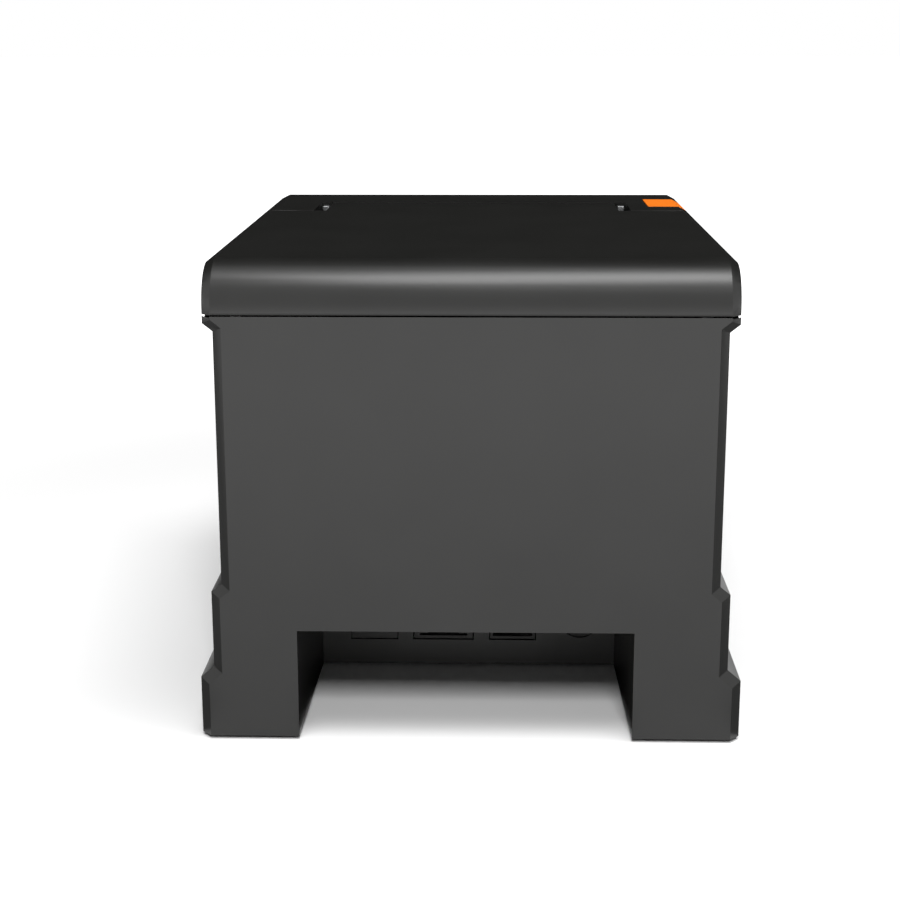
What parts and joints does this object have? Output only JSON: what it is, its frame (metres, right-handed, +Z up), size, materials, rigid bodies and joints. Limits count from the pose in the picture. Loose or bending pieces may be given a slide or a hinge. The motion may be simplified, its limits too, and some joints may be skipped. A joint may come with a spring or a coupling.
{
  "type": "receipt printer",
  "caption": "Desktop thermal receipt printer with stepped sides, a hinged roll lid with platen, top paper slot, cutter, corner release key and a rear cable bay over recessed sockets.",
  "frame": {"origin": "middle of the footprint, on the surface the printer stands on", "axes": "+Z up, front with the controls faces -Y, cable bay at the rear faces +Y"},
  "size_m": [0.145, 0.18, 0.1292],
  "materials": {
    "case_plastic": "fine spark-eroded texture",
    "bucket_plastic": "smooth moulded",
    "key_orange": "smooth moulded",
    "foot_rubber": "matte rubber",
    "socket_plastic": "moulded socket",
    "sheet_steel": "zinc plated sheet",
    "turned_steel": "turned",
    "blade_steel": "ground",
    "gear_plastic": "moulded acetal",
    "bush_brass": "sintered",
    "motor_steel": "plated can",
    "head_ceramic": "glazed ceramic",
    "heatsink_alloy": "extruded",
    "board_green": "solder mask",
    "light_clear": "clear acrylic"
  },
  "bodies": {
    "case": {"lower_case": "case_plastic", "bottom_plate": "case_plastic", "front_cover": "case_plastic", "connector_panel": "case_plastic", "port_blank": "case_plastic", "paper_bucket": "bucket_plastic", "power_switch_body": "bucket_plastic", "rubber_feet": "foot_rubber", "lan_socket": "socket_plastic", "usb_socket": "socket_plastic", "power_socket": "socket_plastic", "buzzer": "socket_plastic", "hinge_brackets": "sheet_steel", "mechanism_chassis": "sheet_steel", "motor_bracket": "sheet_steel", "cutter_frame": "sheet_steel", "hinge_pins": "turned_steel", "near_end_pin": "turned_steel", "idler_axle": "turned_steel", "head_pivot_pin": "turned_steel", "head_springs": "turned_steel", "release_spring": "turned_steel", "latch_pin": "turned_steel", "base_screws": "turned_steel", "board_screws": "turned_steel", "chassis_screws": "turned_steel", "feed_motor": "motor_steel", "cutter_motor": "motor_steel", "main_board": "board_green", "control_board": "board_green", "light_pipes": "light_clear"},
    "lid": {"lid_shell": "case_plastic", "platen_frame": "sheet_steel", "platen_bushes": "bush_brass", "fixed_blade": "blade_steel"},
    "platen": {"platen_shaft": "turned_steel", "platen_roller": "foot_rubber", "platen_gear": "gear_plastic"},
    "idler": {"idler_gear": "gear_plastic"},
    "motor_rotor": {"motor_pinion": "gear_plastic"},
    "head": {"print_head": "head_ceramic", "head_heatsink": "heatsink_alloy"},
    "blade": {"moving_blade": "blade_steel"},
    "cutter_rotor": {"cutter_pinion": "gear_plastic"},
    "key": {"release_key": "key_orange"},
    "latch": {"latch_lever": "bucket_plastic"},
    "button": {"feed_button": "bucket_plastic"},
    "rocker": {"power_rocker": "bucket_plastic"},
    "near_end": {"near_end_lever": "bucket_plastic"}
  },
  "joints": [
    {"name": "lid_hinge", "type": "hinge", "parent": "case", "child": "lid", "pos_m": [0, 0.0845, 0.119], "axis": [-1, 0, 0], "range_deg": [0, 92]},
    {"name": "platen_spin", "type": "hinge", "parent": "lid", "child": "platen", "pos_m": [0, -0.05, 0.113], "axis": [1, 0, 0], "continuous": true},
    {"name": "idler_spin", "type": "hinge", "parent": "case", "child": "idler", "pos_m": [0.043, -0.05, 0.0978], "axis": [1, 0, 0], "continuous": true},
    {"name": "motor_spin", "type": "hinge", "parent": "case", "child": "motor_rotor", "pos_m": [0.043, -0.04095, 0.08875], "axis": [1, 0, 0], "continuous": true},
    {"name": "head_pivot", "type": "hinge", "parent": "case", "child": "head", "pos_m": [0, -0.06, 0.102], "axis": [1, 0, 0], "range_deg": [0, 2.5], "stiffness_Nm_per_rad": 2, "springref_deg": -1.15, "deforming": ["head_springs"]},
    {"name": "blade_slide", "type": "slide", "parent": "case", "child": "blade", "axis": [0, 1, 0], "range_m": [0, 0.006]},
    {"name": "cutter_spin", "type": "hinge", "parent": "case", "child": "cutter_rotor", "pos_m": [0.0426, -0.0685, 0.12], "axis": [0, 0, 1], "range_deg": [-75, 0]},
    {"name": "key_press", "type": "slide", "parent": "case", "child": "key", "axis": [0, 0, -1], "range_m": [0, 0.003], "stiffness_N_per_m": 600, "springref_m": -0.002, "deforming": ["release_spring"]},
    {"name": "latch_swing", "type": "hinge", "parent": "case", "child": "latch", "pos_m": [-0.053, -0.051, 0.098], "axis": [1, 0, 0], "range_deg": [0, 11]},
    {"name": "feed_press", "type": "slide", "parent": "case", "child": "button", "axis": [0, 1, 0], "range_m": [0, 0.001], "stiffness_N_per_m": 400, "springref_m": -0.001},
    {"name": "power_rock", "type": "hinge", "parent": "case", "child": "rocker", "pos_m": [-0.038, -0.0861, 0.026], "axis": [1, 0, 0], "range_deg": [-7, 7]},
    {"name": "near_end_swing", "type": "hinge", "parent": "case", "child": "near_end", "pos_m": [0.0463, 0.038, 0.062], "axis": [0, -1, 0], "range_deg": [0, 12], "stiffness_Nm_per_rad": 0.002, "springref_deg": -11.46}
  ],
  "couplings": [
    {"joint": "idler_spin", "follows": "platen_spin", "ratio": -0.9},
    {"joint": "motor_spin", "follows": "platen_spin", "ratio": 1.5},
    {"joint": "cutter_spin", "follows": "blade_slide", "rad_per_m": -178.57},
    {"joint": "latch_swing", "follows": "key_press", "rad_per_m": 52.36}
  ]
}
